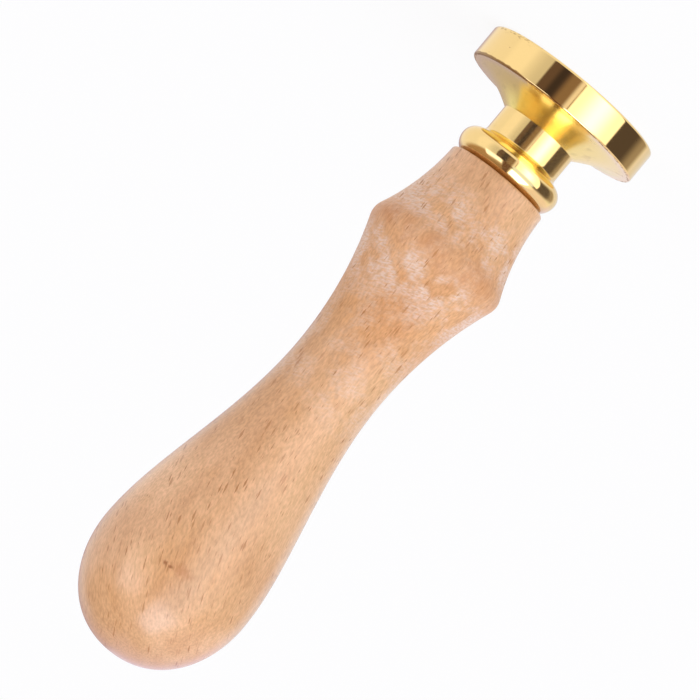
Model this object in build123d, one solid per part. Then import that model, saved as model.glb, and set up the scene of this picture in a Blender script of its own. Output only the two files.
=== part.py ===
from build123d import *
import os
from math import cos, radians, sin, tan

# Wax seal stamp: a turned beech handle, a hanger bolt in its end and a screw-on brass seal head.
# Millimetres. The stamp stands on its die: the origin is the centre of the die face, and +Z runs
# up the common axis to the butt of the handle.

# Seal head, turned from one piece of brass bar; heights add up from the die face
FACE_D = 25.0        # die face and rim
FACE_EDGE_R = 0.4    # rounding between the face and the rim
RIM_H = 4.5          # rim, from the face to its back edge
BACK_EDGE_R = 0.15   # fine break on the rim's back edge
FLARE_LAND = 3.4     # how far the flare's tangent runs flat in from the rim
FLARE_H = 2.5        # rise of the hollow flare, from the rim's back to the neck
NECK_D = 10.7
NECK_H = 3.3         # straight part of the neck
COVE_R = 0.8         # quarter hollow between the neck and the collar bead
SHOULDER_H = 1.65    # bead, from the cove up to its widest line
BEAD_D = 14.7        # bead at its widest
BEAD_SEAT_H = 2.1    # bead, from its widest line up to the seat
SEAT_D = 12.0        # flat ring that the wood seats on

# Die: a petal rosette inside a plain ring, sunk into the face
ENGRAVE_DEPTH = 0.8
RING_D = 21.0        # middle of the ring groove
RING_W = 0.9
PETALS = 8
PETAL_IN_R = 1.7     # inner tips, from the axis
PETAL_OUT_R = 8.9    # outer tips, from the axis
PETAL_W = 2.6
SEED_CIRCLE_D = 15.6  # round seeds between the petals
SEED_D = 1.7

# Hanger bolt: machine thread into the head, wood thread into the handle
BOLT_D = 7.0
MACHINE_L = 8.0      # length in the head
MACHINE_CHAMFER = 0.7
WOOD_L = 20.0        # length in the handle, point included
POINT_L = 4.0
POINT_D = 0.8        # blunt tip of the point

# Holes for the bolt
FIT = 0.05           # radial clearance round the bolt in both holes
HOLE_SPARE = 1.5     # depth left past each end of the bolt
HOLE_MOUTH = 0.6     # countersink at each mouth
DRILL_ANGLE = 118.0  # included angle of the drill's point

# Handle, turned beech; heights add up from the seat
END_D = 14.15        # flat end on the head
END_EDGE_R = 0.4
END_SLOPE = 1.7      # degrees off the axis where the end starts to swell
END_TO_RIDGE = 12.2
RIDGE_D = 20.0       # where the two hollows would meet in a sharp edge
RIDGE_ROUND = 2.6    # sanded rounding of that edge
RIDGE_TO_WAIST = 18.8
WAIST_D = 12.85
WAIST_TO_BULB = 31.6
WAIST_EASE = 11.8    # length of the curve's pull along the axis at the waist
BULB_EASE = 9.2      # and at the bulb
BULB_D = 22.0
BULB_TO_BUTT = 12.8
BUTT_SIDE_PULL = 6.7  # pull along the axis at the bulb
BUTT_END_PULL = 7.0   # pull across the axis at the butt

# Radii and heights that follow from the sizes above
FACE_R = FACE_D / 2
NECK_R = NECK_D / 2
BEAD_R = BEAD_D / 2
SEAT_R = SEAT_D / 2
BOLT_R = BOLT_D / 2
HOLE_R = BOLT_R + FIT
END_R = END_D / 2
WAIST_R = WAIST_D / 2
BULB_R = BULB_D / 2

FLARE_Z = RIM_H + FLARE_H
COVE_Z = FLARE_Z + NECK_H
SHOULDER_Z = COVE_Z + COVE_R
BEAD_Z = SHOULDER_Z + SHOULDER_H
SEAT_Z = BEAD_Z + BEAD_SEAT_H
RIDGE_Z = SEAT_Z + END_TO_RIDGE
WAIST_Z = RIDGE_Z + RIDGE_TO_WAIST
BULB_Z = WAIST_Z + WAIST_TO_BULB
BUTT_Z = BULB_Z + BULB_TO_BUTT
DRILL_POINT_L = HOLE_R / tan(radians(DRILL_ANGLE / 2))


def turned(outline):
    """Solid swept by a half outline turning once round the axis: radius first, then height."""
    return revolve(Plane.XZ * outline, Axis.Z)


def hole_edges(mouth_z, depth, direction):
    """Half outline of a drilled hole, from its countersunk mouth to the point of its bottom."""
    bottom_z = mouth_z + direction * depth
    return Polyline(
        (HOLE_R + HOLE_MOUTH, mouth_z),
        (HOLE_R, mouth_z + direction * HOLE_MOUTH),
        (HOLE_R, bottom_z),
        (0, bottom_z + direction * DRILL_POINT_L),
    ).edges()


def die_sketch():
    """Ring groove, petals and seeds that are sunk into the face."""
    middle_r = (PETAL_IN_R + PETAL_OUT_R) / 2
    tips = (PETAL_IN_R, 0), (PETAL_OUT_R, 0)
    petal = make_face([
        ThreePointArc(tips[0], (middle_r, PETAL_W / 2), tips[1]),
        ThreePointArc(tips[0], (middle_r, -PETAL_W / 2), tips[1]),
    ])
    step = 360 / PETALS
    design = Circle((RING_D + RING_W) / 2) - Circle((RING_D - RING_W) / 2)
    for i in range(PETALS):
        between = step * (i + 0.5)
        design += Rot(0, 0, step * i) * petal
        design += Rot(0, 0, between) * Pos(SEED_CIRCLE_D / 2, 0) * Circle(SEED_D / 2)
    return design


def seal_head():
    """Brass head: rim, hollow flare, neck, cove and collar bead, with the bolt's hole and the die."""
    flare_r = FACE_R - BACK_EDGE_R
    hole = hole_edges(SEAT_Z, MACHINE_L + HOLE_SPARE, -1)
    outline = make_face([
        Line((0, 0), (FACE_R - FACE_EDGE_R, 0)),
        TangentArc((FACE_R - FACE_EDGE_R, 0), (FACE_R, FACE_EDGE_R), tangent=(1, 0)),
        Line((FACE_R, FACE_EDGE_R), (FACE_R, RIM_H - BACK_EDGE_R)),
        TangentArc((FACE_R, RIM_H - BACK_EDGE_R), (flare_r, RIM_H), tangent=(0, 1)),
        Bezier((flare_r, RIM_H), (FACE_R - FLARE_LAND, RIM_H), (NECK_R, FLARE_Z)),
        Line((NECK_R, FLARE_Z), (NECK_R, COVE_Z)),
        TangentArc((NECK_R, COVE_Z), (NECK_R + COVE_R, SHOULDER_Z), tangent=(0, 1)),
        TangentArc((BEAD_R, BEAD_Z), (NECK_R + COVE_R, SHOULDER_Z), tangent=(0, -1)),
        TangentArc((BEAD_R, BEAD_Z), (SEAT_R, SEAT_Z), tangent=(0, 1)),
        Line((SEAT_R, SEAT_Z), (HOLE_R + HOLE_MOUTH, SEAT_Z)),
        *hole,
        Line((0, SEAT_Z - MACHINE_L - HOLE_SPARE - DRILL_POINT_L), (0, 0)),
    ])
    return turned(outline) - extrude(die_sketch(), ENGRAVE_DEPTH)


def hanger_bolt():
    """Steel bolt with a machine end and a pointed wood end, at its outer diameter."""
    low_z = SEAT_Z - MACHINE_L
    high_z = SEAT_Z + WOOD_L
    outline = make_face(Polyline(
        (0, low_z),
        (BOLT_R - MACHINE_CHAMFER, low_z),
        (BOLT_R, low_z + MACHINE_CHAMFER),
        (BOLT_R, high_z - POINT_L),
        (POINT_D / 2, high_z),
        (0, high_z),
        close=True,
    ))
    return turned(outline)


def handle():
    """Beech handle: swelling end, rounded ridge, waist, bulb and domed butt, bored for the bolt."""
    slope = radians(END_SLOPE)
    ridge = (RIDGE_D / 2, RIDGE_Z)
    hole = hole_edges(SEAT_Z, WOOD_L + HOLE_SPARE, 1)
    outline = make_face([
        Line((HOLE_R + HOLE_MOUTH, SEAT_Z), (END_R - END_EDGE_R, SEAT_Z)),
        TangentArc((END_R - END_EDGE_R, SEAT_Z), (END_R, SEAT_Z + END_EDGE_R), tangent=(1, 0)),
        TangentArc((END_R, SEAT_Z + END_EDGE_R), ridge, tangent=(sin(slope), cos(slope))),
        TangentArc((WAIST_R, WAIST_Z), ridge, tangent=(0, -1)),
        Bezier(
            (WAIST_R, WAIST_Z),
            (WAIST_R, WAIST_Z + WAIST_EASE),
            (BULB_R, BULB_Z - BULB_EASE),
            (BULB_R, BULB_Z),
        ),
        Bezier((BULB_R, BULB_Z), (BULB_R, BULB_Z + BUTT_SIDE_PULL), (BUTT_END_PULL, BUTT_Z), (0, BUTT_Z)),
        Line((0, BUTT_Z), (0, SEAT_Z + WOOD_L + HOLE_SPARE + DRILL_POINT_L)),
        *hole,
    ])
    sharp_edge = outline.vertices().sort_by_distance(ridge)[0]
    return turned(fillet(sharp_edge, RIDGE_ROUND))


os.makedirs("parts", exist_ok=True)
for name, solid in (("seal_head", seal_head()), ("hanger_bolt", hanger_bolt()), ("handle", handle())):
    export_step(solid, f"parts/{name}.step")
    print(name, round(solid.volume), "cubic mm")
print("overall length", round(BUTT_Z, 2), "mm, seat at", round(SEAT_Z, 2), "mm")
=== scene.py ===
# %% [markdown]
# # A wax seal stamp
# The real stamp has three pieces on one axis: a turned beech handle, a steel bolt that is half sunk in its
# end, and a brass seal head that screws onto the other half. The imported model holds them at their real
# size, standing on the die with the butt of the handle up. It is opened first and never changed. Each piece
# is then made again round the same axis with the fine detail that a camera sees, so nothing has to be
# fitted.

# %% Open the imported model
from math import cos, pi, radians, sin, tan, tau

import bpy
from mathutils import Matrix, Vector
from mathutils.geometry import interpolate_bezier, intersect_sphere_sphere_2d


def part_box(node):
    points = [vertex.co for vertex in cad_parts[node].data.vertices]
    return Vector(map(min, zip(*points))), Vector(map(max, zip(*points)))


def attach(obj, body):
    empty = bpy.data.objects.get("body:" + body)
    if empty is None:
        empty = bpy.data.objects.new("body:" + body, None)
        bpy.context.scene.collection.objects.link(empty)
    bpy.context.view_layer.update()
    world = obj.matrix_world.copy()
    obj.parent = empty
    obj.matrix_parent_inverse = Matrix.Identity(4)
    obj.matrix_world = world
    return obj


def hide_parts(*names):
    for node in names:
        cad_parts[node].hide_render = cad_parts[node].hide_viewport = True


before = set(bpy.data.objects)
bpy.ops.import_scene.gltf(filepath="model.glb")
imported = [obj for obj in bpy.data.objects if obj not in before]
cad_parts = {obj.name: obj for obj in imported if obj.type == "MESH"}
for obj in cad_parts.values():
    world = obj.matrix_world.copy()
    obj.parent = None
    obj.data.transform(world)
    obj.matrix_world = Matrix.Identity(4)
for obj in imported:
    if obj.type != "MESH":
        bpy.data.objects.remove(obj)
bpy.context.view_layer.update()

MM = 0.001
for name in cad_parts:
    low_corner, high_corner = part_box(name)
    print(name, "stands from", round(low_corner.z / MM, 2), "to", round(high_corner.z / MM, 2), "mm")

# %% [markdown]
# ## Turned outlines
# Handle and head come off a lathe, so each is one half outline that goes once round the axis. The outline
# could be traced with hundreds of points, but a turner thinks in straights, hollows and rounds. So three
# helpers give those shapes, as (radius, height) in millimetres: where an arc has its centre, the arc
# itself, and a smooth curve that is pulled at both ends, as a pen tool draws it.

# %% Arcs and curves for an outline
def arc_centre(start, heading, end):
    """Centre of the arc that leaves start along heading, a unit vector, and reaches end."""
    across = Vector((-heading.y, heading.x))
    chord = end - start
    return start + across * (chord.length_squared / (2 * chord.dot(across)))


def arc(start, centre, end, steps):
    """Points on the arc from start round centre to end, without start."""
    spoke = start - centre
    turn = -spoke.angle_signed(end - centre)
    return [centre + Matrix.Rotation(turn * i / steps, 2) @ spoke for i in range(1, steps + 1)]


def curve(start, start_pull, end_pull, end, steps):
    """Points on the curve from start to end, without start, with a pull at each end."""
    return interpolate_bezier(start, start_pull, end_pull, end, steps + 1)[1:]


# %% [markdown]
# ## The lathe
# Blender turns a piece as a potter's wheel does. A plane is merged into one vertex, the vertex is extruded
# along the outline, and Spin carries the line round the axis. Spin leaves doubles where the line touches
# the axis, and it may leave the faces inside out, so doubles are merged and the normals turned outwards
# straight away.

# %% Draw a line and spin it
ROUND_STEPS = 192
WELD = 0.0005 * MM


def draw_line(points):
    """A new object, open for editing, with a line of edges through the points, in the XZ plane."""
    bpy.ops.object.select_all(action="DESELECT")
    bpy.ops.mesh.primitive_plane_add(size=MM)
    bpy.ops.object.mode_set(mode="EDIT")
    bpy.ops.mesh.merge(type="CENTER")
    bpy.ops.transform.translate(value=(points[0].x * MM, 0, points[0].y * MM))
    for here, there in zip(points, points[1:]):
        step = (there - here) * MM
        bpy.ops.mesh.extrude_vertices_move(TRANSFORM_OT_translate={"value": (step.x, 0, step.y)})
    bpy.ops.mesh.select_all(action="SELECT")
    return bpy.context.object


def weld():
    """Merge doubles of the mesh that is open for editing, and turn its faces outwards."""
    bpy.ops.mesh.select_all(action="SELECT")
    bpy.ops.mesh.remove_doubles(threshold=WELD)
    bpy.ops.mesh.normals_make_consistent(inside=False)


def turned(name, outline):
    """The piece that a half outline makes in one turn round the axis."""
    piece = draw_line(outline)
    piece.name = name
    bpy.ops.mesh.spin(steps=ROUND_STEPS, angle=tau, center=(0, 0, 0), axis=(0, 0, 1))
    weld()
    bpy.ops.object.mode_set(mode="OBJECT")
    return piece


def only(piece):
    """Make a piece the one that is selected and active."""
    bpy.ops.object.select_all(action="DESELECT")
    piece.select_set(True)
    bpy.context.view_layer.objects.active = piece


def smooth(piece, crease=radians(28)):
    """Shade a piece smooth, apart from edges that are sharper than the crease."""
    only(piece)
    bpy.ops.object.shade_smooth_by_angle(angle=crease)
    print(piece.name, "has", len(piece.data.polygons), "faces")


# %% [markdown]
# ## The handle
# The handle swells from its flat end to a ridge, dips to a waist and ends in a bulb. On the lathe the ridge
# is where two hollows meet, and sandpaper then rounds it. The same is done here: both hollows are arcs that
# would meet in a sharp edge, and a small circle that touches both of them gives the sanded rounding. A
# bevel could do it too, but it would not stay a true arc between two curves.

# %% Two hollows and the ridge between them
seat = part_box("handle")[0].z / MM
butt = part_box("handle")[1].z / MM
bulb_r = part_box("handle")[1].x / MM

END_R = 7.075
END_EDGE = 0.4
END_SLOPE = radians(1.7)
RIDGE_R = 10.0
RIDGE_UP = 12.2
RIDGE_ROUND = 2.6
WAIST_R = 6.425
WAIST_UP = 31.0

end_side = Vector((END_R, seat + END_EDGE))
ridge = Vector((RIDGE_R, seat + RIDGE_UP))
waist = Vector((WAIST_R, seat + WAIST_UP))
low_centre = arc_centre(end_side, Vector((sin(END_SLOPE), cos(END_SLOPE))), ridge)
high_centre = arc_centre(waist, Vector((0, -1)), ridge)
low_r = (end_side - low_centre).length
high_r = (waist - high_centre).length
touching = intersect_sphere_sphere_2d(low_centre, low_r + RIDGE_ROUND, high_centre, high_r + RIDGE_ROUND)
round_centre = min(touching, key=lambda place: place.x)
low_touch = low_centre + (round_centre - low_centre).normalized() * low_r
high_touch = high_centre + (round_centre - high_centre).normalized() * high_r
print("ridge rounded to", round(round_centre.x + RIDGE_ROUND, 2), "mm radius")

# %% Turn the handle
BULB_UP = 62.6
WAIST_PULL = 11.8
BULB_PULL = 9.2
BUTT_SIDE_PULL = 6.7
BUTT_END_PULL = 7.0
BORE_R = 3.55
BORE_DEPTH = 21.5
MOUTH = 0.6
DRILL_HALF_ANGLE = radians(59)

bulb = Vector((bulb_r, seat + BULB_UP))
tip = Vector((0, butt))
end_flat = Vector((END_R - END_EDGE, seat))
along = Vector((0, 1))
handle = turned("turned_handle", [
    Vector((0, seat + BORE_DEPTH + BORE_R / tan(DRILL_HALF_ANGLE))),
    Vector((BORE_R, seat + BORE_DEPTH)),
    Vector((BORE_R, seat + MOUTH)),
    Vector((BORE_R + MOUTH, seat)),
    end_flat,
    *arc(end_flat, Vector((end_flat.x, end_side.y)), end_side, 8),
    *arc(end_side, low_centre, low_touch, 24),
    *arc(low_touch, round_centre, high_touch, 16),
    *arc(high_touch, high_centre, waist, 32),
    *curve(waist, waist + along * WAIST_PULL, bulb - along * BULB_PULL, bulb, 48),
    *curve(bulb, bulb + along * BUTT_SIDE_PULL, Vector((BUTT_END_PULL, butt)), tip, 40),
])
smooth(handle)

# %% [markdown]
# ## The seal head
# The head is brass bar, turned to a thick rim, a hollow flare, a plain neck and a collar bead, then drilled
# for the bolt. Its outline starts at the edge of the die face and ends at the bottom of the hole. The face
# itself is left open by the spin and filled with one flat face, which cuts more cleanly later than the long
# thin triangles that a line to the axis would leave. Smooth shading tilts the light where a straight
# stretch meets a round. Polished metal shows that, so each straight stretch has a supporting point close to
# both ends.

# %% Turn the head
face_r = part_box("seal_head")[1].x / MM
FACE_EDGE = 0.4
RIM_H = 4.5
BACK_EDGE = 0.3
FLARE_LAND = 3.4
FLARE_TOP = 7.0
NECK_R = 5.35
COVE_UP = 10.3
COVE = 0.8
BEAD_R = 7.35
BEAD_UP = 12.75
SEAT_R = 6.0
TAP_DRILL_R = 2.96
TAP_DEPTH = 9.5
SUPPORT = 0.06

face_rim = Vector((face_r - FACE_EDGE, 0))
rim_low = Vector((face_r, FACE_EDGE))
rim_high = Vector((face_r, RIM_H - BACK_EDGE))
flare_out = Vector((face_r - BACK_EDGE, RIM_H))
flare_in = Vector((NECK_R, FLARE_TOP))
flare_bend = Vector((face_r - FLARE_LAND, RIM_H))
cove_low = Vector((NECK_R, COVE_UP))
cove_high = Vector((NECK_R + COVE, COVE_UP + COVE))
bead = Vector((BEAD_R, BEAD_UP))
seat_edge = Vector((SEAT_R, seat))
close = along * SUPPORT
head = turned("seal_head_brass", [
    face_rim,
    *arc(face_rim, Vector((face_rim.x, rim_low.y)), rim_low, 10),
    rim_low + close,
    rim_high - close,
    rim_high,
    *arc(rim_high, Vector((flare_out.x, rim_high.y)), flare_out, 6),
    *curve(flare_out, flare_out.lerp(flare_bend, 2 / 3), flare_in.lerp(flare_bend, 2 / 3), flare_in, 28),
    flare_in + close,
    cove_low - close,
    cove_low,
    *arc(cove_low, Vector((cove_high.x, cove_low.y)), cove_high, 10),
    *arc(cove_high, arc_centre(bead, -along, cove_high), bead, 16),
    *arc(bead, arc_centre(bead, along, seat_edge), seat_edge, 20),
    Vector((BORE_R + MOUTH, seat)),
    Vector((TAP_DRILL_R, seat - (BORE_R + MOUTH - TAP_DRILL_R))),
    Vector((TAP_DRILL_R, seat - TAP_DEPTH)),
    Vector((0, seat - TAP_DEPTH - TAP_DRILL_R / tan(DRILL_HALF_ANGLE))),
])
bpy.ops.object.mode_set(mode="EDIT")
bpy.ops.mesh.select_all(action="DESELECT")
bpy.ops.mesh.select_non_manifold()
bpy.ops.mesh.edge_face_add()
weld()
bpy.ops.object.mode_set(mode="OBJECT")
print("head turned from", round(2 * face_r, 2), "mm bar")

# %% [markdown]
# ## Screw threads
# A thread is a small V that climbs one pitch a turn. The Screw modifier does just that with a line as long
# as one pitch: the end of each turn meets the start of the next, so the merged turns are one helical skin.
# The ragged first and last turns are cut away by a bisect that also fills the cut, which leaves a closed
# rod. Every thread starts a whole number of turns below the seat, so that bolt and tapped hole stay in
# step.

# %% Make threaded rods
THREAD_STEPS = 72


def threaded_rod(name, crest_r, root_r, pitch, crest_w, root_w, low, high):
    """Rod with a right-handed thread, between two heights, with flat crests and roots of given widths."""
    flank_w = (pitch - crest_w - root_w) / 2
    turns_below = round((seat - low) / pitch) + 2
    start = Vector((root_r, seat - turns_below * pitch))
    rise = Vector((crest_r - root_r, flank_w))
    root_end = start + along * root_w
    piece = draw_line([
        start,
        root_end,
        root_end + rise,
        root_end + rise + along * crest_w,
        start + along * pitch,
    ])
    bpy.ops.object.mode_set(mode="OBJECT")
    piece.name = name
    bpy.ops.object.modifier_add(type="SCREW")
    screw = piece.modifiers[-1]
    screw.axis = "Z"
    screw.angle = tau
    screw.screw_offset = pitch * MM
    screw.iterations = turns_below + round((high - seat) / pitch) + 3
    screw.steps = THREAD_STEPS
    screw.render_steps = THREAD_STEPS
    bpy.ops.object.modifier_apply(modifier=screw.name)
    bpy.ops.object.mode_set(mode="EDIT")
    bpy.ops.mesh.select_all(action="SELECT")
    bpy.ops.mesh.remove_doubles(threshold=WELD)
    for height, side in ((low, -1), (high, 1)):
        bpy.ops.mesh.select_all(action="SELECT")
        cut = {"plane_co": (0, 0, height * MM), "plane_no": (0, 0, side), "threshold": WELD}
        bpy.ops.mesh.bisect(**cut, use_fill=True, clear_outer=True)
    weld()
    bpy.ops.object.mode_set(mode="OBJECT")
    return piece


def carve(piece, tool, operation):
    """Join, cut or trim a piece by a tool, which is used up."""
    only(piece)
    bpy.ops.object.modifier_add(type="BOOLEAN")
    step = piece.modifiers[-1]
    step.operation = operation
    step.solver = "EXACT"
    step.object = tool
    bpy.ops.object.modifier_apply(modifier=step.name)
    bpy.data.objects.remove(tool)


# %% [markdown]
# ## The hanger bolt
# One half of the bolt has a fine machine thread for the head, the other half a coarse wood thread for the
# handle, with a plain groove between them. Both rods are joined, and the turned blank that a bolt maker
# would start from trims them: its chamfer, groove and point cut the threads as a lathe tool would.

# %% Make the bolt
bolt_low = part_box("hanger_bolt")[0].z / MM
bolt_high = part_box("hanger_bolt")[1].z / MM
bolt_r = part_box("hanger_bolt")[1].x / MM
MACHINE_PITCH = 1.0
MACHINE_ROOT_R = 2.89
MACHINE_CREST_W = 0.14
MACHINE_ROOT_W = 0.24
WOOD_PITCH = 2.5
WOOD_ROOT_R = 2.35
WOOD_CREST_W = 0.18
WOOD_ROOT_W = 1.1
OVERLAP = 0.3
GROOVE_R = 2.8
GROOVE_UP = 0.5
CHAMFER = 0.7
POINT_L = 4.0
POINT_R = 0.4

bolt = threaded_rod(
    "threaded_bolt", bolt_r, MACHINE_ROOT_R, MACHINE_PITCH, MACHINE_CREST_W, MACHINE_ROOT_W,
    bolt_low - OVERLAP, seat + OVERLAP,
)
wood_half = threaded_rod(
    "wood_half", bolt_r, WOOD_ROOT_R, WOOD_PITCH, WOOD_CREST_W, WOOD_ROOT_W,
    seat - OVERLAP, bolt_high + OVERLAP,
)
carve(bolt, wood_half, "UNION")
blank = turned("blank", [
    Vector((0, bolt_low)),
    Vector((bolt_r - CHAMFER, bolt_low)),
    Vector((bolt_r, bolt_low + CHAMFER)),
    Vector((bolt_r, seat - GROOVE_UP - (bolt_r - GROOVE_R))),
    Vector((GROOVE_R, seat - GROOVE_UP)),
    Vector((GROOVE_R, seat + GROOVE_UP)),
    Vector((bolt_r, seat + GROOVE_UP + (bolt_r - GROOVE_R))),
    Vector((bolt_r, bolt_high - POINT_L)),
    Vector((POINT_R, bolt_high)),
    Vector((0, bolt_high)),
])
carve(bolt, blank, "INTERSECT")
smooth(bolt)

# %% [markdown]
# ## Tap the head
# A tap is the same thread a little larger, with room for the bolt all round. It is cut out of the drilled
# hole, so the head has a real female thread that shows when it is unscrewed.

# %% Cut the female thread
THREAD_ROOM = 0.05
TAP_CREST_W = 0.2
TAP_ROOT_W = 0.18
TAP_UP_FROM_BOTTOM = 0.8
tap = threaded_rod(
    "tap", bolt_r + THREAD_ROOM, MACHINE_ROOT_R + THREAD_ROOM / 2, MACHINE_PITCH, TAP_CREST_W, TAP_ROOT_W,
    seat - TAP_DEPTH + TAP_UP_FROM_BOTTOM, seat + MACHINE_PITCH,
)
carve(head, tap, "DIFFERENCE")
print("tapped hole", TAP_DEPTH, "mm deep")

# %% [markdown]
# ## The die
# The die is engraved into the face: a ring round eight petals, with a seed between each two. One petal is
# drawn as two arcs, filled, and sunk in two steps so that its walls slope as a graver leaves them. Spin
# with duplicates then copies it round the axis. The cutters are taken out of the face in one go.

# %% Cutters for ring, petals and seeds
ENGRAVE = 0.8
PROUD = 0.2
PETALS = 8
PETAL_IN = 1.7
PETAL_OUT = 8.9
PETAL_HALF_W = 1.3
PETAL_FLOOR_SHARE = 0.7


def copy_round(cutter):
    """Copy what is open for editing round the axis, once for each petal."""
    share = (PETALS - 1) / PETALS
    bpy.ops.mesh.select_all(action="SELECT")
    bpy.ops.mesh.spin(steps=PETALS - 1, dupli=True, angle=tau * share, center=(0, 0, 0), axis=(0, 0, 1))
    bpy.ops.object.mode_set(mode="OBJECT")
    return cutter


petal_middle = (PETAL_IN + PETAL_OUT) / 2
half_chord = (PETAL_OUT - PETAL_IN) / 2
petal_arc_r = (half_chord**2 + PETAL_HALF_W**2) / (2 * PETAL_HALF_W)
inner_tip = Vector((PETAL_IN, 0))
outer_tip = Vector((PETAL_OUT, 0))
one_side = arc(inner_tip, Vector((petal_middle, petal_arc_r - PETAL_HALF_W)), outer_tip, 24)
other_side = [Vector((p.x, -p.y)) for p in reversed([inner_tip, *one_side[:-1]])]
petals = draw_line([inner_tip, *one_side, *other_side])
bpy.ops.transform.rotate(value=pi / 2, orient_axis="X", center_override=(0, 0, 0))
weld()
bpy.ops.mesh.edge_face_add()
bpy.ops.transform.translate(value=(0, 0, -PROUD * MM))
bpy.ops.mesh.extrude_region_move(TRANSFORM_OT_translate={"value": (0, 0, PROUD * MM)})
bpy.ops.mesh.extrude_region_move(TRANSFORM_OT_translate={"value": (0, 0, ENGRAVE * MM)})
bpy.ops.transform.resize(
    value=(PETAL_FLOOR_SHARE, PETAL_FLOOR_SHARE, 1), center_override=(petal_middle * MM, 0, ENGRAVE * MM)
)
weld()
copy_round(petals)
print("petals are", PETAL_OUT - PETAL_IN, "mm long")

# %% Seeds, ring and the cut itself
SEED_AT = 7.8
SEED_R = 0.85
SEED_DEPTH = 0.65
RING_R = 10.5
RING_HALF_W = 0.45
RING_FLOOR_HALF_W = 0.26

seed_ball_r = (SEED_R**2 + SEED_DEPTH**2) / (2 * SEED_DEPTH)
seed_turn = pi / PETALS
seed_place = (SEED_AT * cos(seed_turn) * MM, SEED_AT * sin(seed_turn) * MM, (SEED_DEPTH - seed_ball_r) * MM)
bpy.ops.object.select_all(action="DESELECT")
bpy.ops.mesh.primitive_uv_sphere_add(segments=32, ring_count=24, radius=seed_ball_r * MM, location=seed_place)
bpy.ops.object.transform_apply(location=True)
bpy.ops.object.mode_set(mode="EDIT")
seeds = copy_round(bpy.context.object)
groove = turned("ring_groove", [
    Vector((RING_R + half_w, up))
    for half_w, up in (
        (-RING_HALF_W, -PROUD), (RING_HALF_W, -PROUD), (RING_HALF_W, 0), (RING_FLOOR_HALF_W, ENGRAVE),
        (-RING_FLOOR_HALF_W, ENGRAVE), (-RING_HALF_W, 0), (-RING_HALF_W, -PROUD),
    )
])
for cutter in (petals, seeds):
    cutter.select_set(True)
bpy.ops.object.join()
carve(head, groove, "DIFFERENCE")
smooth(head)

# %% [markdown]
# ## Shader maths
# A finish is a sum of masks and colours. In the node editor every plus and times is a node of its own, and
# a sum of ten terms is a web that nobody can read. So a small class wraps a socket and gives it Python's
# own operators: writing 1 - mask adds the Math node and its links. One method adds any other node.

# %% A value that flows through nodes
class Flow:
    """A socket in a node tree. Sums and products with it add Math nodes."""

    def __init__(self, tree, socket=None):
        self.tree = tree
        self.socket = socket

    def node(self, kind, settings=None, inputs=None, output=0):
        """Add a node, set it up, feed its inputs with numbers or flows, and hand back one output."""
        made = self.tree.nodes.new("ShaderNode" + kind)
        for key, value in (settings or {}).items():
            setattr(made, key, value)
        for key, value in (inputs or {}).items():
            if isinstance(value, Flow):
                self.tree.links.new(value.socket, made.inputs[key])
            else:
                made.inputs[key].default_value = value
        return Flow(self.tree, made.outputs[output] if made.outputs else None)

    def output(self, name):
        """Another output of the node that this value comes from."""
        return Flow(self.tree, self.socket.node.outputs[name])

    def maths(self, operation, *values):
        return self.node("Math", {"operation": operation}, dict(enumerate(values)))

    def __add__(self, other):
        return self.maths("ADD", self, other)

    def __sub__(self, other):
        return self.maths("SUBTRACT", self, other)

    def __rsub__(self, other):
        return self.maths("SUBTRACT", other, self)

    def __mul__(self, other):
        return self.maths("MULTIPLY", self, other)

    def __truediv__(self, other):
        return self.maths("DIVIDE", self, other)

    def __abs__(self):
        return self.maths("ABSOLUTE", self)

    __radd__ = __add__
    __rmul__ = __mul__

    def ease(self, low, high):
        """0 up to low, 1 from high on, and a smooth rise between them."""
        limits = {"Value": self, "From Min": low, "From Max": high}
        return self.node("MapRange", {"interpolation_type": "SMOOTHSTEP"}, limits)

    def band(self, low, high, soft):
        """1 between low and high, with soft edges."""
        return self.ease(low - soft, low + soft) * (1 - self.ease(high - soft, high + soft))

    def blend(self, first, second):
        """The first colour where this value is 0, the second where it is 1."""
        return self.node("Mix", {"data_type": "RGBA"}, {0: self, 6: first, 7: second}, 2)

    def tinted(self, tint):
        """This colour, seen through a tint."""
        return self.node("VectorMath", {"operation": "MULTIPLY"}, {0: self, 1: tint})


def together(x, y, z):
    """Three values as one vector."""
    return x.node("CombineXYZ", None, {"X": x, "Y": y, "Z": z})


def noise(x, y, z, detail=2.0):
    """Cloudy values about 0.5, with clouds one unit wide."""
    return x.node("TexNoise", None, {"Vector": together(x, y, z), "Scale": 1.0, "Detail": detail})


def dashes(x, y, z):
    """Diamonds about scattered points: how far off the nearest point is, and two chances of its own."""
    kind = {"distance": "MANHATTAN"}
    off = x.node("TexVoronoi", kind, {"Vector": together(x, y, z), "Scale": 1.0})
    chance = x.node("SeparateXYZ", None, {"Vector": off.output("Color")})
    return off, chance.output("X"), chance.output("Y")


def new_finish(name):
    """An empty material and the flow that fills it."""
    material = bpy.data.materials.new(name)
    material.use_nodes = True
    material.node_tree.nodes.clear()
    return material, Flow(material.node_tree)


def places(flow):
    """Where a point of the piece is, along X, Y and Z, in millimetres."""
    split = flow.node("SeparateXYZ", None, {"Vector": flow.node("TexCoord", output="Object")})
    return tuple(split.output(axis) / MM for axis in "XYZ")


def colour(red, green, blue):
    """A colour with its opacity, as a socket wants it."""
    return (red, green, blue, 1.0)


# %% [markdown]
# ## Beech
# Beech is pale and close grained. Broad soft bands and warmer patches run along it, over a fine mottle of
# fibres. The pattern is a block of wood that the handle is cut from, so it meets itself all round, and it
# changes from the front to the sides as on real turned wood. A pattern wrapped round the surface could not
# do that. The grain runs straight at the waist and leans over more and more towards the butt, as a tree
# leans.

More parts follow.
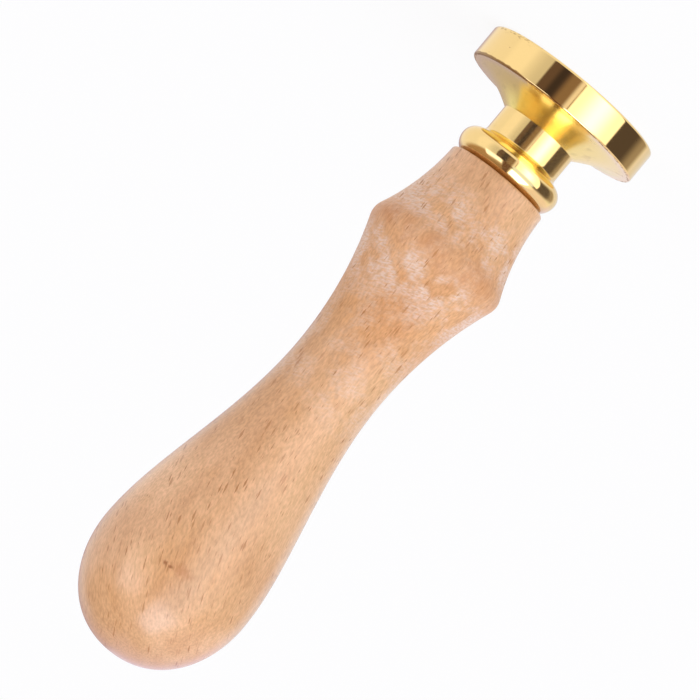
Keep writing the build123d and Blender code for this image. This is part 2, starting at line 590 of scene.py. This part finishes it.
# %% Grain and fibres
LEAN = 7.5e-5
LEAN_FROM = 35.0
DARK_BAND = colour(0.668, 0.349, 0.156)
PALE_BAND = colour(0.764, 0.432, 0.216)
WARM_PATCH = colour(0.655, 0.325, 0.124)

beech, flow = new_finish("beech")
x, y, z = places(flow)
radius = flow.maths("SQRT", x * x + y * y)
from_straight = z - LEAN_FROM
grain_x = x + LEAN * (from_straight * from_straight * from_straight)

bands = noise(grain_x / 4.0, y / 4.0, z / 40.0)
patches = noise(grain_x / 3.5, y / 3.5, z / 8.0)
fibres = noise(grain_x / 0.27, y / 0.27, z / 0.75, 3.0)
wood = bands.ease(0.3, 0.7).blend(DARK_BAND, PALE_BAND)
wood = (patches.ease(0.5, 0.75) * 0.5).blend(wood, WARM_PATCH)
print("grain leans from", LEAN_FROM, "mm up")

# %% [markdown]
# ## Zones of the handle
# Real wood is not one colour all over. In front the handle is redder below the waist and by the knot, all
# round it is redder above the ridge, and both ends are darker. The butt's darkening is painted shade. So are
# a darker left side about the waist and a darker stripe right of the middle of the bulb. The left flank of
# the bulb carries painted sheen, with a painted highlight spot by the butt and a painted highlight stripe
# left of the middle. The right side is paler as painted light. These painted zones stand in for the lamps,
# and for things near the handle that the real varnish mirrors and that are not built here. Each zone is a
# soft band up the handle times a soft band across it. Across it, a value says how far a point is turned to a
# side: 1 at the edge on the picture's left, 0 in the middle, -1 at the right. The zones could be painted as
# an image, but that would be only as sharp as its pixels. The fibres come last, over all zones, and the dark
# ones are also redder.

# %% Where the zones are
FRONT = (-4.0, 2.5)
ABOVE_RIDGE = (29, 40)
BELOW_WAIST = (32, 46)
BY_THE_KNOT = (74, 83)
END_FADE = (17, 21)
BUTT_FADE = (83, 89)

sideways = x / radius
to_the_right = 0 - sideways
in_front = x.band(*FRONT, 1.5)
redder_in_front = 0.45 * z.band(*BELOW_WAIST, 4.0) + 0.2 * z.band(*BY_THE_KNOT, 3.0)
redder = 0.4 * z.band(*ABOVE_RIDGE, 4.0) + in_front * redder_in_front
# The darker butt is painted shade. In front, the end by the head is darker too.
dark_front_end_and_butt_shade = 0.35 * in_front * (1 - z.ease(*END_FADE)) + 0.5 * z.ease(*BUTT_FADE)
# Painted shade on the left side about the waist.
painted_shade_left = 0.45 * sideways.ease(0.45, 0.8) * z.band(38, 62, 4.0)
# Painted sheen on the left flank of the bulb, and a painted highlight spot by the butt.
painted_sheen_flank = sideways.ease(0.4, 0.7) * z.band(65, 74, 4.0)
painted_highlight_spot = sideways.band(0.3, 0.52, 0.12) * z.band(78, 84, 2.0)
painted_sheen_left = 0.45 * (painted_sheen_flank + 0.7 * painted_highlight_spot)
# Painted light on the right side, below the bulb and on it: a painted reflection of the soft box in the
# varnish.
below_bulb = (1 - z.ease(64, 74)) * (1 - 0.8 * z.band(20, 42, 3.0))
on_bulb = 0.5 * z.band(73.5, 80, 2.0)
painted_light_right = 0.4 * to_the_right.ease(0.35, 0.7) * (below_bulb + on_bulb)
# A painted highlight stripe left of the middle of the bulb, and a painted shade stripe right of it.
painted_highlight_stripe = 0.3 * sideways.band(0.12, 0.36, 0.08) * z.band(70, 83, 3.0)
painted_shade_stripe = 0.3 * to_the_right.band(0.12, 0.36, 0.08) * z.band(62, 83, 3.0)
print("redder in front from", BELOW_WAIST[0], "to", BELOW_WAIST[1], "mm up")

# %% What colour they have
DARK_FIBRE = colour(0.85, 0.82, 0.77)
PALE_FIBRE = colour(1.15, 1.18, 1.23)
tones = (
    (redder, colour(0.63, 0.29, 0.108)),
    (dark_front_end_and_butt_shade, colour(0.59, 0.32, 0.15)),
    (painted_shade_left, colour(0.55, 0.26, 0.08)),
    (painted_sheen_left, colour(0.95, 0.6, 0.33)),
    (painted_light_right, colour(0.9, 0.58, 0.31)),
    (painted_highlight_stripe, colour(0.9, 0.53, 0.27)),
    (painted_shade_stripe, colour(0.5, 0.29, 0.15)),
)
for zone, tone in tones:
    wood = zone.blend(wood, tone)
wood = wood.tinted(fibres.ease(0.2, 0.8).blend(DARK_FIBRE, PALE_FIBRE))
print("the handle has", len(tones), "zones")

# %% [markdown]
# ## Ray flecks
# The short dark dashes of beech are the ends of rays, thin plates that grow outwards from the pith. A
# Voronoi texture with Manhattan distance has a diamond round every point. Squeezed across the grain and
# stretched along it, the diamonds are dashes, and stretched along Y too, they are plates: dashes in front,
# flakes at the sides. Every cell has a random colour, which gives its fleck a size and a darkness of its
# own. A few long brown ones stand out, and many small faint ones lie between them.

# %% Flecks
FLECK = colour(0.43, 0.165, 0.045)
FINE_FLECK = colour(0.4, 0.17, 0.055)
off, size, darkness = dashes(grain_x / 0.31, y / 3.0, z / 2.0)
flecks = (0.8 * size - 0.2 - off).ease(0.0, 0.1) * (0.25 + 0.6 * darkness)
off, size, darkness = dashes(grain_x / 0.22, y / 1.2, z / 1.7)
fine_flecks = (0.5 * size - 0.12 - off).ease(0.0, 0.08) * (0.2 + 0.25 * darkness)
wood = flecks.blend(wood, FLECK)
wood = fine_flecks.blend(wood, FINE_FLECK)
print("with its flecks the beech has", len(beech.node_tree.nodes), "nodes")

# %% [markdown]
# ## A smudge by the butt
# A small brown knot shows on the front of the bulb: two dark spots, and a reddish smudge that trails off to
# one side. Each is an oval mask round one point of the surface, eaten away by the fibres, so that it looks
# grown and not stamped on.

# %% Knot
def spot(at_x, at_z, half_w, half_h):
    """An oval on the front of the handle, ragged where the fibres cross its edge."""
    beside = (x - at_x) / half_w
    above = (z - at_z) / half_h
    out = flow.maths("SQRT", beside * beside + above * above) + 1.2 * (fibres - 0.5)
    return (1 - out.ease(0.2, 1.1)) * (1 - y.ease(-1.0, 1.0))


SMUDGE = colour(0.5, 0.2, 0.065)
KNOT = colour(0.29, 0.085, 0.025)
for at_x, at_z, half_w, half_h, share, tone in (
    (-0.8, 77.9, 1.8, 1.1, 0.65, SMUDGE),
    (1.5, 78.25, 0.5, 0.38, 0.8, KNOT),
    (0.7, 78.3, 0.38, 0.28, 0.8, KNOT),
):
    wood = (spot(at_x, at_z, half_w, half_h) * share).blend(wood, tone)
    print("spot", round(2 * half_w, 2), "mm wide, at", at_z, "mm up")

# %% [markdown]
# ## The varnish and its haze
# The handle is varnished, so it mirrors the room a little: the lamps as soft pale bands, the dark cards as
# deeper colour. That is the shader's coat, a smooth clear layer over the wood. About the ridge the varnish
# was sanded across the grain. There it has lost its gloss, and it is milky, in clouds of short fine streaks
# that run round the handle. They are noise that is squeezed along the axis, kept to the two hollows by the
# ridge and thickest on one side, with a few stray ones up to the waist. Within them the milky colour also
# rises towards both sides of the handle, and that part is painted sheen from light grazing the varnish. The
# flecks are pores and stay dark in it.

# %% Sanding haze
RUBBED = colour(0.59, 0.255, 0.1)
MILKY = colour(0.83, 0.68, 0.57)
ridge_z = ridge.y
haze_top = ridge_z + 7.5

rubbed_ridge = z.band(ridge_z - 2, ridge_z + 2, 2.0) * (0.2 + 0.35 * patches.ease(0.4, 0.62))
wood = (rubbed_ridge * (1.6 - 1.2 * fibres)).blend(wood, RUBBED)
away = 0.25 + 0.75 * abs(z - ridge_z).ease(0.8, 3.2)
reach = z.band(seat + 5, haze_top, 2.5) + 0.4 * z.band(haze_top, waist.y + 6, 2.5)
thicker_low = x.ease(1, 6) * z.band(ridge_z - 7, ridge_z - 2, 2.0)
thicker_high = x.band(1.5, 5.5, 1.5) * z.band(ridge_z + 2, ridge_z + 11, 2.0)
thicker = thicker_low + 0.7 * thicker_high
# Painted sheen: the milky colour rises towards both sides of the handle.
painted_edge_sheen = abs(sideways).ease(0.75, 1.0)
clouds = noise(x / 3.0, y / 3.0, z / 3.0, 3.0) + 0.15 * (thicker + painted_edge_sheen)
streaks = noise((x + 0.4 * z) / 0.8, y / 0.8, (z - 0.4 * x) / 0.24)
haze_and_edge_sheen = reach * away * clouds.ease(0.38, 0.66) * (0.3 + 0.7 * streaks.ease(0.34, 0.68)) * (1 - flecks)
wood = (haze_and_edge_sheen * 0.72).blend(wood, MILKY)
print("haze reaches", round(haze_top, 2), "mm up")

# %% The finished beech
dull = z.band(ridge_z - 7.5, ridge_z + 15, 3.0)
relief = flow.node("Bump", None, {
    "Strength": 0.2, "Distance": 0.05 * MM, "Height": 0.5 * fibres - 0.5 * flecks,
})
varnish = flow.node("BsdfPrincipled", None, {
    "Base Color": wood, "Roughness": 0.4 + 0.1 * fibres, "Normal": relief, "Specular IOR Level": 0.15,
    "Coat Weight": (1 - 0.75 * dull) * (1 - 0.5 * haze_and_edge_sheen), "Coat Roughness": 0.24, "Coat IOR": 1.5,
})
flow.node("OutputMaterial", None, {"Surface": varnish})
handle.data.materials.append(beech)
print("beech has", len(beech.node_tree.nodes), "nodes")

# %% [markdown]
# ## Polished brass
# Polished brass is mostly what it reflects: its own colour is the tint of its mirror, with next to no
# diffuse colour. So the base is a plain metal with low roughness. A polishing wheel reaches the rim and the
# bead, but not the hollow flare, so the flare is satin, blurs what it mirrors and keeps the deep yellow of
# its lacquer.

# %% Mirror and satin
BRASS = colour(0.925, 0.658, 0.28)
LACQUER = colour(0.98, 0.81, 0.27)
brass, flow = new_finish("polished_brass")
x, y, z = places(flow)
radius = flow.maths("SQRT", x * x + y * y)
round_turn = flow.maths("ARCTAN2", 0 - x, 0 - y)

flare = z.band(RIM_H, FLARE_TOP, 0.15)
neck = z.band(FLARE_TOP, cove_high.y, 0.1)
polish = noise(x / 2.5, y / 2.5, z / 2.5, 3.0)
roughness = 0.05 + 0.18 * flare + 0.04 * neck + 0.05 * polish.ease(0.4, 0.75)
print("satin from", RIM_H, "to", FLARE_TOP, "mm up")

# %% [markdown]
# ## Wear on the brass, and painted shade by the wood
# What makes the metal real is small: faint lines from the lathe, a few pits, specks along the die's edge,
# stains in the flare, and dark nicks along the back edge of the rim, worst on one side, where the stamp was
# dropped. The nicks are noise along the edge, cut off by a limit that is lower on that side. Next to the wood
# the brass is darkened as well, and that is painted shade, because the groove between the bead and the handle
# lies in shadow.

# %% Turning lines, pits and nicks
# One dark colour serves the real marks and the painted shade by the wood.
TARNISH_AND_SHADE = colour(0.26, 0.13, 0.05)
WORN_FROM = radians(-85)
WORN_TO = radians(-25)
worn = round_turn.band(WORN_FROM, WORN_TO, radians(15))
chipped = noise(round_turn * 16.0, z / 0.25, radius / 0.4, 4.0) + 0.22 * worn
back_edge = (z + 0.3 * worn * chipped).ease(RIM_H - 0.12, RIM_H - 0.05)
back_edge = back_edge * radius.ease(face_r - 0.5, face_r - 0.35)
nicks = back_edge * chipped.ease(0.44, 0.62)
dots = flow.node("TexVoronoi", None, {"Vector": together(x / 1.6, y / 1.6, z / 0.8), "Scale": 1.0})
dot_chance = flow.node("SeparateXYZ", None, {"Vector": dots.output("Color")})
pits = (dot_chance.output("X") * 0.12 - 0.04 - dots).ease(0.0, 0.02)
front_edge = (1 - z.ease(0.25, 0.9)) * radius.ease(face_r - 0.6, face_r - 0.35)
specks = front_edge * (chipped - 0.24).ease(0.5, 0.6) * 0.6
stains = flare * noise(x / 1.3, y / 1.3, z / 1.3, 3.0).ease(0.54, 0.72) * 0.15
marks = flow.maths("MAXIMUM", flow.maths("MAXIMUM", nicks, specks), pits)
# Painted shade: the brass darkens towards the seat, in the groove by the wood.
painted_groove_shade = z.ease(seat - 1.0, seat)
lines = noise(radius / 0.09, z / 0.09, z * 0.0)
print("rim worn over", round((WORN_TO - WORN_FROM) * 180 / pi), "degrees")

# %% The finished brass
turning = flow.node("Bump", None, {"Strength": 0.02, "Distance": 0.02 * MM, "Height": lines - marks})
# Real marks and stains, with the painted shade by the wood.
marks_stains_and_shade = marks * 0.8 + painted_groove_shade * 0.4 + stains
mirror = flow.node("BsdfPrincipled", None, {
    "Base Color": marks_stains_and_shade.blend(flare.blend(BRASS, LACQUER), TARNISH_AND_SHADE),
    "Metallic": 1 - 0.035 * z.ease(RIM_H, FLARE_TOP),
    "Roughness": roughness + 0.3 * marks,
    "Normal": turning,
})
flow.node("OutputMaterial", None, {"Surface": mirror})
head.data.materials.append(brass)
print("brass has", len(brass.node_tree.nodes), "nodes")

# %% [markdown]
# ## Zinc-plated steel
# The bolt is plain steel with a thin zinc plating: a grey metal, duller than the brass, a little blotchy,
# and rubbed brighter where the crests of the thread have been screwed in and out.

# %% Plated bolt
steel, flow = new_finish("plated_steel")
x, y, z = places(flow)
radius = flow.maths("SQRT", x * x + y * y)
blotches = noise(x / 1.5, y / 1.5, z / 1.5, 3.0)
rubbed = radius.ease(bolt_r - 0.25, bolt_r - 0.02)
plating = blotches.ease(0.35, 0.7).blend(colour(0.5, 0.5, 0.47), colour(0.66, 0.65, 0.61))
plating = (rubbed * 0.5).blend(plating, colour(0.75, 0.74, 0.71))
zinc = flow.node("BsdfPrincipled", None, {
    "Base Color": plating, "Metallic": 1.0, "Roughness": 0.42 - 0.14 * rubbed + 0.1 * blotches,
})
flow.node("OutputMaterial", None, {"Surface": zinc})
bolt.data.materials.append(steel)
print("steel has", len(steel.node_tree.nodes), "nodes")

# %% [markdown]
# ## Put the pieces on the model
# Each new piece stands for one node of the imported model and moves with that node's body, so the handle can
# be unscrewed. The slot column names which of the record's finishes the piece was given above; this loop does
# not set it.

# %% Ride and replace
for piece, body, node, slot in (
    (handle, "grip", "handle", "beech"),
    (head, "head", "seal_head", "polished_brass"),
    (bolt, "bolt", "hanger_bolt", "plated_steel"),
):
    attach(piece, body)
    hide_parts(node)
    print(piece.name, "rides on", body)

# %% [markdown]
# ## The studio
# Brass needs something to mirror, and so does varnish. The room is pale, with two soft boxes one above the
# other to the right of the camera, a high window to the left, and dark cards on both sides of the boxes.
# Those give the sharp light and dark bands on the rim and the soft ones on the wood, and the tints of walls
# and ceiling colour the edges. They could be planes and lamps, but those would stand in the way of other
# views. So they are painted on the world by direction: degrees round from the camera, to the picture's
# right, and degrees up. Later cards cover earlier ones. Each has its left and right side, its bottom and
# top, how much its top slants, how soft its edges are, and its light.

# %% Paint the cards and the soft box
def grey(level):
    """A light without tint."""
    return colour(level, level, level)


CARDS = (
    ("ceiling", -200, 200, 45, 120, 0, 10, colour(0.36, 0.25, 0.17)),
    ("upper left wall", -140, -64, 26, 120, 0, 8, colour(0.45, 0.3, 0.18)),
    ("dim corner", -200, -157, -14, 120, 0, 10, colour(0.54, 0.45, 0.53)),
    ("other corner", 138, 200, -45, 120, 0, 6, colour(0.9, 0.84, 1.08)),
    ("foot of the corner", 138, 200, -45, 3, 0, 6, colour(0.83, 0.84, 0.87)),
    ("side wall", 56, 140, 14, 60, 0, 6, colour(0.96, 0.89, 1.0)),
    ("lit wall", -92, -62, -35, 23, 0, 5, grey(1.08)),
    ("high window", -66, -22, 20, 40, 0, 3, colour(1.75, 1.8, 2.2)),
    ("shaded wall", -54, 10, -34, 20, 0, 12, grey(0.74)),
    ("black card", -38.3, 10, -34, 20, 0, 1.5, colour(0.14, 0.095, 0.085)),
    ("fold in the card", -26, -15, -34, 20, 0, 4, colour(0.055, 0.042, 0.045)),
    ("boom", -20, 10, 18, 76, 0, 3, colour(0.15, 0.075, 0.05)),
    ("brown card", -12, 10, -34, 20, 0, 4, colour(0.28, 0.195, 0.14)),
    ("edge of the box", 1.3, 10, -45, 20, 0, 3, colour(1.0, 0.95, 0.97)),
    ("end of the flag", 60, 131, -33, 20, 0.33, 8, colour(0.38, 0.33, 0.29)),
    ("flag", 60, 110, -33, 20, 0.33, 10, colour(0.1, 0.08, 0.08)),
    ("frame of the box", 6.6, 9.1, -34, 14, 0, 0.35, colour(0.33, 0.24, 0.15)),
    ("soft box", 8, 71.5, -90, 14, 0, 1.2, grey(1.6)),
    ("middle of the box", 26, 51, -35, 14, 0, 13, grey(3.2)),
    ("gap between the boxes", 5, 62, 9, 27, 0, 4, colour(0.93, 1.15, 1.45)),
    ("glow of the upper box", 3, 70, 27, 70, 0, 5, grey(1.25)),
    ("upper box", 6, 57, 31, 65, 0, 3, colour(4.0, 4.4, 5.1)),
)
FLAG_TOP_AT = 75
WHITE = grey(1.0)


def looked_at(flow):
    """1 for rays that come straight from the camera, or through something clear."""
    rays = flow.node("LightPath")
    return flow.maths("MAXIMUM", rays.output("Is Camera Ray"), rays.output("Is Transmission Ray"))


scene = bpy.context.scene
scene.world = bpy.data.worlds.new("studio")
scene.world.use_nodes = True
scene.world.node_tree.nodes.clear()
flow = Flow(scene.world.node_tree)
look = flow.node("SeparateXYZ", None, {"Vector": flow.node("TexCoord", output="Generated")})
round_from_camera = flow.maths("ARCTAN2", 0 - look, 0 - look.output("Y")) * (180 / pi)
up = flow.maths("ARCSINE", look.output("Z")) * (180 / pi)
light = WHITE
for name, left, right, low, high, slant, soft, shade in CARDS:
    under_top = up + slant * (round_from_camera - FLAG_TOP_AT)
    card = round_from_camera.band(left, right, soft) * up.ease(low - soft, low + soft)
    card = card * (1 - under_top.ease(high - soft, high + soft))
    light = card.blend(light, shade)
    print(name, right - left, "degrees wide")
background = flow.node("Background", None, {"Color": looked_at(flow).blend(light, WHITE), "Strength": 1.0})
flow.node("OutputWorld", None, {"Surface": background})
scene.view_settings.view_transform = "Standard"

# %% [markdown]
# ## The floor
# The stamp stands on a plain white floor. To the camera it is nearly as bright as paper in sunlight and
# still takes a soft shadow, because only part of its light is its own. Its underside lets the camera
# through, so that the die can be looked at from below, and the mirror of the brass shows the room in its
# place.

# %% Lay the floor
FLOOR_SIZE = 8.0
FLOOR_DROP = 0.05
OWN_LIGHT = 0.9
bpy.ops.object.select_all(action="DESELECT")
bpy.ops.mesh.primitive_plane_add(size=FLOOR_SIZE, location=(0, 0, -FLOOR_DROP * MM))
floor = bpy.context.object
floor.name = "floor"
floor.visible_glossy = False
paper, flow = new_finish("floor")
matt = flow.node("BsdfDiffuse", None, {"Color": grey(0.9)})
glow = flow.node("Emission", None, {"Color": WHITE, "Strength": 1.0})
top = flow.node("MixShader", None, {0: looked_at(flow) * OWN_LIGHT, 1: matt, 2: glow})
clear = flow.node("BsdfTransparent")
under = flow.node("NewGeometry", output="Backfacing")
flow.node("OutputMaterial", None, {"Surface": flow.node("MixShader", None, {0: under, 1: top, 2: clear})})
floor.data.materials.append(paper)
print("floor", FLOOR_DROP, "mm under the die")

# %% [markdown]
# ## The camera
# The picture is taken from far off with a long lens, a little from the butt's side, and the camera is
# rolled so that the head points to the upper right. The camera looks at a point on the axis, and then moves
# sideways in its own plane until that point is where the picture has it.

# %% Set up the camera
PICTURE = 700
DISTANCE = 1.0
TILT = radians(6.04)
ROLL = radians(-140.249)
AIM = Vector((0, 0, 41.573 * MM))
AIM_RIGHT = 10.75
AIM_UP = 2.99
SCALE = 8.1035

bpy.ops.object.camera_add()
camera = bpy.context.object
turn_up = Matrix.Rotation(pi / 2 - TILT, 3, "X")
axes = turn_up @ Matrix.Rotation(ROLL, 3, "Z")
aside = axes @ Vector((AIM_RIGHT, AIM_UP, 0)) / SCALE * MM
camera.matrix_world = Matrix.Translation(AIM + axes @ Vector((0, 0, DISTANCE)) - aside) @ axes.to_4x4()
camera.data.sensor_width = 36.0
camera.data.lens = SCALE * DISTANCE / MM * camera.data.sensor_width / PICTURE
camera.data.clip_start = 0.01
scene.camera = camera
print("lens", round(camera.data.lens, 1), "mm")
